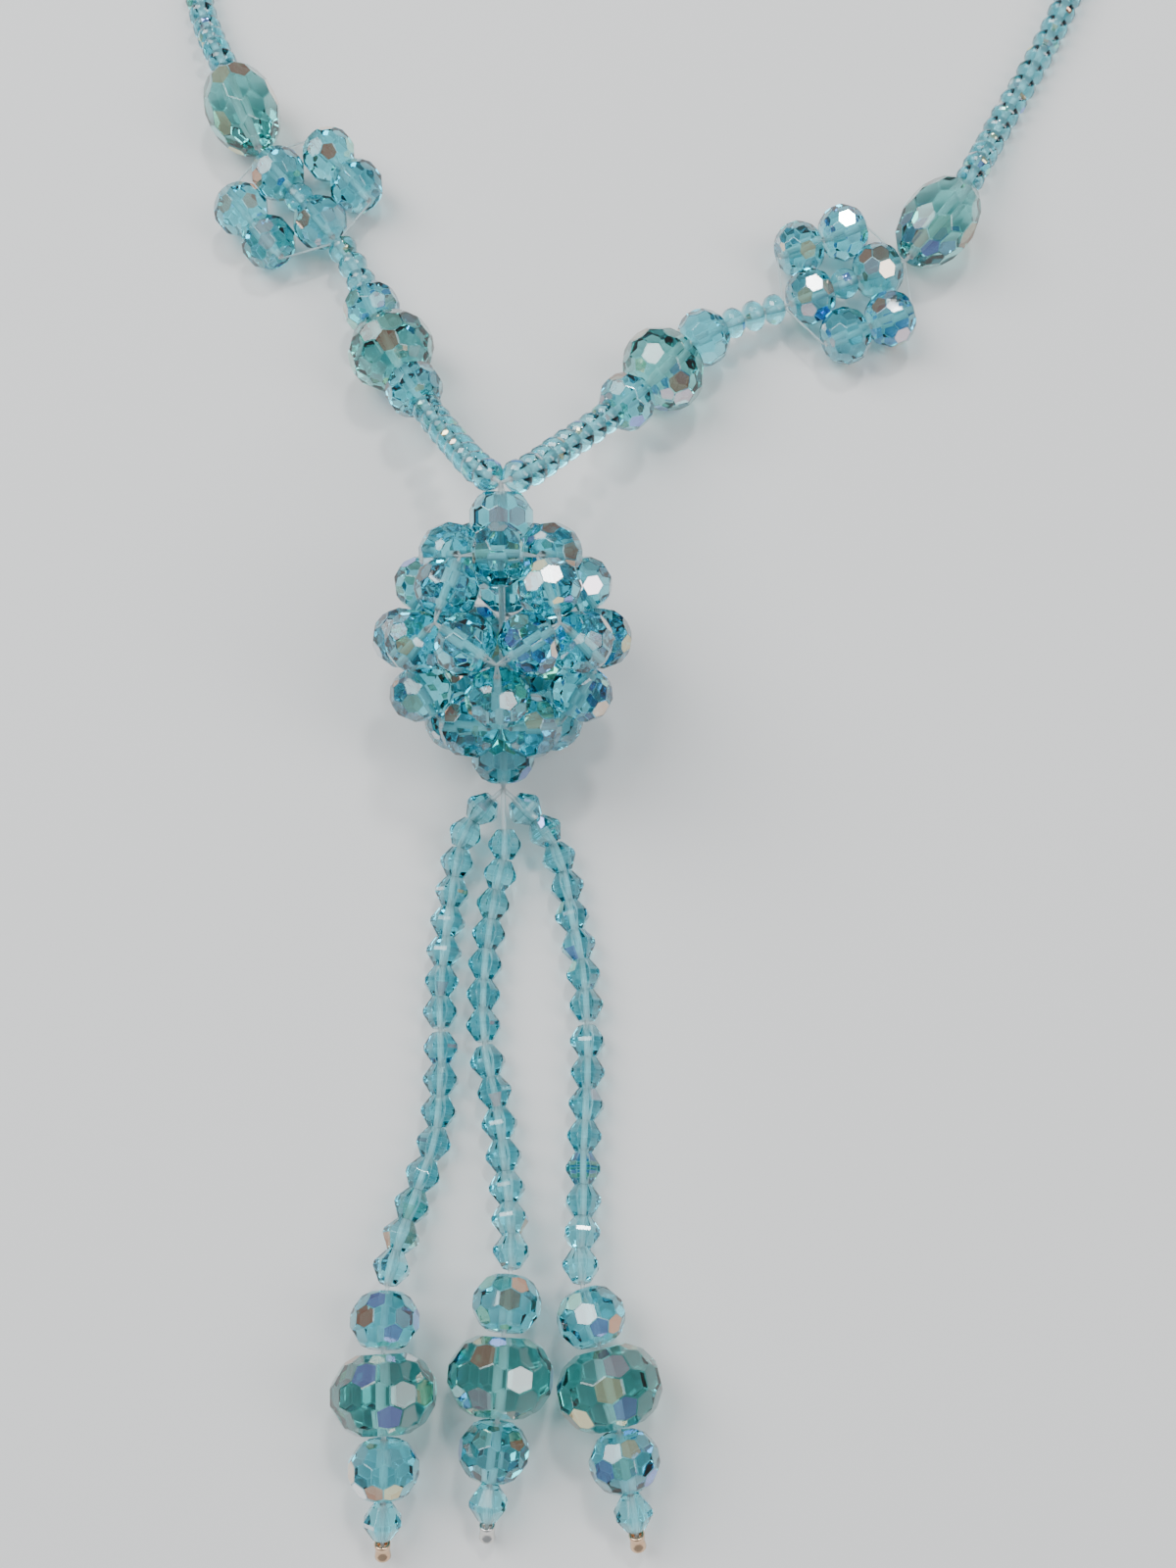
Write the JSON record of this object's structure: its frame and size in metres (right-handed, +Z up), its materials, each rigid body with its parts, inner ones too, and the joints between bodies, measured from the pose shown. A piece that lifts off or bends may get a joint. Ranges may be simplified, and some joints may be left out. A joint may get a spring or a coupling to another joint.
{
  "type": "beaded necklace",
  "caption": "Y-shaped necklace of faceted crystal glass beads: a woven bead ball pendant with a bead tassel, bead flowers on both legs, lobster clasp and ring",
  "frame": {"origin": "on the resting surface, under the middle of the laid-out necklace", "axes": "+Z up from the resting surface, +Y from the tassel end towards the clasp, +X to the right seen from above"},
  "size_m": [0.142, 0.2906, 0.0278],
  "materials": {
    "aqua_glass": "faceted transparent glass",
    "blue_glass": "faceted transparent glass with an iridescent coating",
    "teal_glass": "faceted transparent glass, deeper in colour",
    "clear_thread": "clear nylon monofilament",
    "plated_metal": "polished plating"
  },
  "bodies": {
    "pendant": {"ball_top_ring": "blue_glass", "ball_middle_band": "blue_glass", "ball_bottom_ring": "blue_glass", "ball_thread": "clear_thread", "crown_bead": "blue_glass", "base_bead": "blue_glass"},
    "left_leg": {"left_leg_beads": "aqua_glass", "left_leg_rondelle_lower": "blue_glass", "left_leg_rondelle_upper": "blue_glass"},
    "left_leg_large_bead": {"left_leg_rondelle_large": "teal_glass"},
    "left_flower": {"left_petal_1": "blue_glass", "left_petal_2": "blue_glass", "left_petal_3": "blue_glass", "left_petal_4": "blue_glass", "left_flower_rondelle_inner": "blue_glass", "left_flower_rondelle_outer": "blue_glass", "left_flower_thread": "aqua_glass"},
    "left_neck_front": {"left_oval_bead": "teal_glass", "left_neck_run_1": "aqua_glass"},
    "left_neck_middle": {"left_neck_run_2": "aqua_glass"},
    "left_neck_end": {"left_neck_run_3": "aqua_glass"},
    "right_leg": {"right_leg_beads": "aqua_glass", "right_leg_rondelle_lower": "blue_glass", "right_leg_rondelle_upper": "blue_glass"},
    "right_leg_large_bead": {"right_leg_rondelle_large": "teal_glass"},
    "right_flower": {"right_petal_1": "blue_glass", "right_petal_2": "blue_glass", "right_petal_3": "blue_glass", "right_petal_4": "blue_glass", "right_flower_rondelle_inner": "blue_glass", "right_flower_rondelle_outer": "blue_glass", "right_flower_thread": "aqua_glass"},
    "right_neck_front": {"right_oval_bead": "teal_glass", "right_neck_run_1": "aqua_glass"},
    "right_neck_middle": {"right_neck_run_2": "aqua_glass"},
    "right_neck_end": {"right_neck_run_3": "aqua_glass"},
    "clasp": {"clasp_body": "plated_metal"},
    "clasp_trigger": {"clasp_trigger": "plated_metal"},
    "clasp_ring": {"clasp_ring": "plated_metal"},
    "left_strand_top": {"left_strand_upper": "aqua_glass"},
    "left_strand_bottom": {"left_strand_lower": "aqua_glass"},
    "left_drop": {"left_drop_rondelle_upper": "blue_glass", "left_drop_rondelle_lower": "blue_glass", "left_drop_bicone": "aqua_glass", "left_drop_crimp": "plated_metal"},
    "left_drop_large_bead": {"left_drop_rondelle_large": "teal_glass"},
    "middle_strand_top": {"middle_strand_upper": "aqua_glass"},
    "middle_strand_bottom": {"middle_strand_lower": "aqua_glass"},
    "middle_drop": {"middle_drop_rondelle_upper": "blue_glass", "middle_drop_rondelle_lower": "blue_glass", "middle_drop_bicone": "aqua_glass", "middle_drop_crimp": "plated_metal"},
    "middle_drop_large_bead": {"middle_drop_rondelle_large": "teal_glass"},
    "right_strand_top": {"right_strand_upper": "aqua_glass"},
    "right_strand_bottom": {"right_strand_lower": "aqua_glass"},
    "right_drop": {"right_drop_rondelle_upper": "blue_glass", "right_drop_rondelle_lower": "blue_glass", "right_drop_bicone": "aqua_glass", "right_drop_crimp": "plated_metal"},
    "right_drop_large_bead": {"right_drop_rondelle_large": "teal_glass"}
  },
  "joints": [
    {"name": "left_leg_swing", "type": "hinge", "parent": "pendant", "child": "left_leg", "pos_m": [-0.01841, -0.02478, 0.02227], "axis": [0, 0, 1], "range_deg": [-3, 12]},
    {"name": "left_large_bead_spin", "type": "hinge", "parent": "left_leg", "child": "left_leg_large_bead", "pos_m": [-0.03467, 0.00441, 0.00576], "axis": [-0.423, 0.9005, -0.1013], "continuous": true},
    {"name": "left_flower_swing", "type": "hinge", "parent": "left_leg", "child": "left_flower", "pos_m": [-0.03886, 0.01488, 0.00426], "axis": [0, 0, -1], "range_deg": [-12, 12]},
    {"name": "left_neck_bend_1", "type": "hinge", "parent": "left_flower", "child": "left_neck_front", "pos_m": [-0.0549, 0.03827, 0.00428], "axis": [0, 0, 1], "range_deg": [-12, 12]},
    {"name": "left_neck_bend_2", "type": "hinge", "parent": "left_neck_front", "child": "left_neck_middle", "pos_m": [-0.06895, 0.08737, 0.00182], "axis": [0, 0, -1], "range_deg": [-12, 12]},
    {"name": "left_neck_bend_3", "type": "hinge", "parent": "left_neck_middle", "child": "left_neck_end", "pos_m": [-0.0535, 0.12067, 0.00182], "axis": [0, 0, 1], "range_deg": [-12, 12]},
    {"name": "right_leg_swing", "type": "hinge", "parent": "pendant", "child": "right_leg", "pos_m": [-0.01841, -0.02478, 0.02227], "axis": [0, 0, -1], "range_deg": [-3, 12]},
    {"name": "right_large_bead_spin", "type": "hinge", "parent": "right_leg", "child": "right_leg_large_bead", "pos_m": [0.00227, 0.00149, 0.00576], "axis": [0.627, 0.7724, -0.1013], "continuous": true},
    {"name": "right_flower_swing", "type": "hinge", "parent": "right_leg", "child": "right_flower", "pos_m": [0.01053, 0.00906, 0.00426], "axis": [0, 0, 1], "range_deg": [-12, 6]},
    {"name": "right_neck_bend_1", "type": "hinge", "parent": "right_flower", "child": "right_neck_front", "pos_m": [0.03665, 0.02007, 0.00428], "axis": [0, 0, -1], "range_deg": [-6, 12]},
    {"name": "right_neck_bend_2", "type": "hinge", "parent": "right_neck_front", "child": "right_neck_middle", "pos_m": [0.06612, 0.07275, 0.00182], "axis": [0, 0, 1], "range_deg": [-12, 6]},
    {"name": "right_neck_bend_3", "type": "hinge", "parent": "right_neck_middle", "child": "right_neck_end", "pos_m": [0.05891, 0.11726, 0.00182], "axis": [0, 0, -1], "range_deg": [-6, 12]},
    {"name": "clasp_swivel", "type": "hinge", "parent": "left_neck_end", "child": "clasp", "pos_m": [-0.01593, 0.13399, 0.00182], "axis": [0, 0, -1], "range_deg": [-30, 30]},
    {"name": "trigger_press", "type": "hinge", "parent": "clasp", "child": "clasp_trigger", "pos_m": [-0.00765, 0.13211, 0.00182], "axis": [0, 0, 1], "range_deg": [0, 18], "stiffness_Nm_per_rad": 0.002},
    {"name": "ring_swivel", "type": "hinge", "parent": "right_neck_end", "child": "clasp_ring", "pos_m": [0.0165, 0.14137, 0.00182], "axis": [0, 0, 1], "range_deg": [-30, 30]},
    {"name": "left_strand_swing", "type": "hinge", "parent": "pendant", "child": "left_strand_top", "pos_m": [-0.01841, -0.05824, 0.00553], "axis": [0, 0, -1], "range_deg": [0, 20]},
    {"name": "left_strand_bend", "type": "hinge", "parent": "left_strand_top", "child": "left_strand_bottom", "pos_m": [-0.0257, -0.08758, 0.00191], "axis": [0, 0, -1], "range_deg": [0, 20]},
    {"name": "left_drop_swing", "type": "hinge", "parent": "left_strand_bottom", "child": "left_drop", "pos_m": [-0.03065, -0.11717, 0.00462], "axis": [0, 0, -1], "range_deg": [0, 20]},
    {"name": "left_drop_bead_spin", "type": "hinge", "parent": "left_drop", "child": "left_drop_large_bead", "pos_m": [-0.03051, -0.1285, 0.00574], "axis": [0.0514, -0.9987, 0], "continuous": true},
    {"name": "middle_strand_lift", "type": "hinge", "parent": "pendant", "child": "middle_strand_top", "pos_m": [-0.01841, -0.05824, 0.00553], "axis": [-1, 0, 0], "range_deg": [0, 20]},
    {"name": "middle_strand_bend", "type": "hinge", "parent": "middle_strand_top", "child": "middle_strand_bottom", "pos_m": [-0.02032, -0.08919, 0.00191], "axis": [-1, 0, 0], "range_deg": [0, 20]},
    {"name": "middle_drop_lift", "type": "hinge", "parent": "middle_strand_bottom", "child": "middle_drop", "pos_m": [-0.01672, -0.11541, 0.00462], "axis": [-1, 0, 0], "range_deg": [0, 20]},
    {"name": "middle_drop_bead_spin", "type": "hinge", "parent": "middle_drop", "child": "middle_drop_large_bead", "pos_m": [-0.01761, -0.12671, 0.00574], "axis": [-0.0609, -0.9981, 0], "continuous": true},
    {"name": "right_strand_swing", "type": "hinge", "parent": "pendant", "child": "right_strand_top", "pos_m": [-0.01841, -0.05824, 0.00553], "axis": [0, 0, 1], "range_deg": [0, 20]},
    {"name": "right_strand_bend", "type": "hinge", "parent": "right_strand_top", "child": "right_strand_bottom", "pos_m": [-0.00804, -0.08672, 0.00191], "axis": [0, 0, 1], "range_deg": [0, 20]},
    {"name": "right_drop_swing", "type": "hinge", "parent": "right_strand_bottom", "child": "right_drop", "pos_m": [-0.00852, -0.11696, 0.00462], "axis": [0, 0, 1], "range_deg": [0, 20]},
    {"name": "right_drop_bead_spin", "type": "hinge", "parent": "right_drop", "child": "right_drop_large_bead", "pos_m": [-0.00554, -0.12787, 0.00574], "axis": [0.2349, -0.972, 0], "continuous": true}
  ]
}
